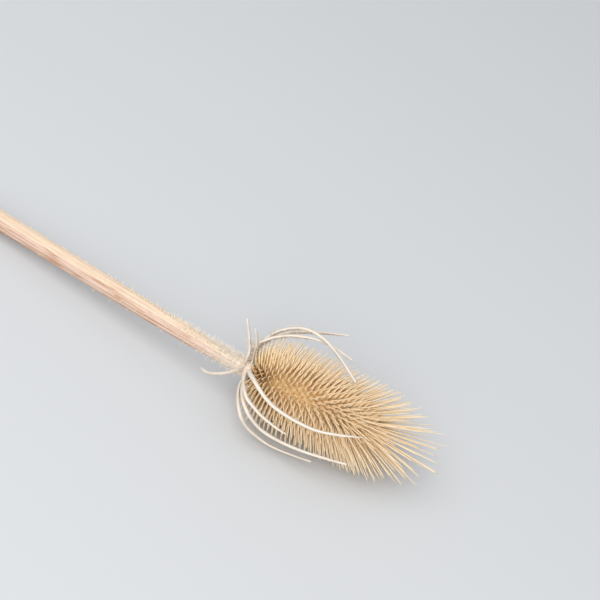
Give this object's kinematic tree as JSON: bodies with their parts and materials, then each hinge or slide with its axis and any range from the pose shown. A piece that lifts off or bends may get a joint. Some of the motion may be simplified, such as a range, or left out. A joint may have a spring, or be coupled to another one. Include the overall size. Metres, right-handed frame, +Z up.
{
  "type": "teasel seed head",
  "caption": "Dried teasel seed head, an egg-shaped body covered in long fine spines, with curved bracts round it and a ribbed, prickly cut stem, lying on its side.",
  "frame": {"origin": "on the surface that the teasel lies on, under the middle of its outer box", "axes": "+X along the stem to the tip of the head, +Z up, +Y to the far side"},
  "size_m": [0.215, 0.0502, 0.0352],
  "materials": {
    "stalk": "dry, matt, faintly ribbed stalk, pale cream ridges and pinkish tan grooves",
    "spines": "dry straw, golden ochre at the roots and pale cream at the tips, satin",
    "bracts": "dry cream-white fibre, matt"
  },
  "bodies": {
    "root": {"stem": "stalk", "seed_head": "spines", "bract_01": "bracts", "bract_02": "bracts", "bract_03": "bracts", "bract_04": "bracts", "bract_05": "bracts", "bract_06": "bracts", "bract_07": "bracts", "bract_08": "bracts", "bract_09": "bracts", "bract_10": "bracts", "bract_11": "bracts", "bract_12": "bracts"}
  },
  "joints": []
}
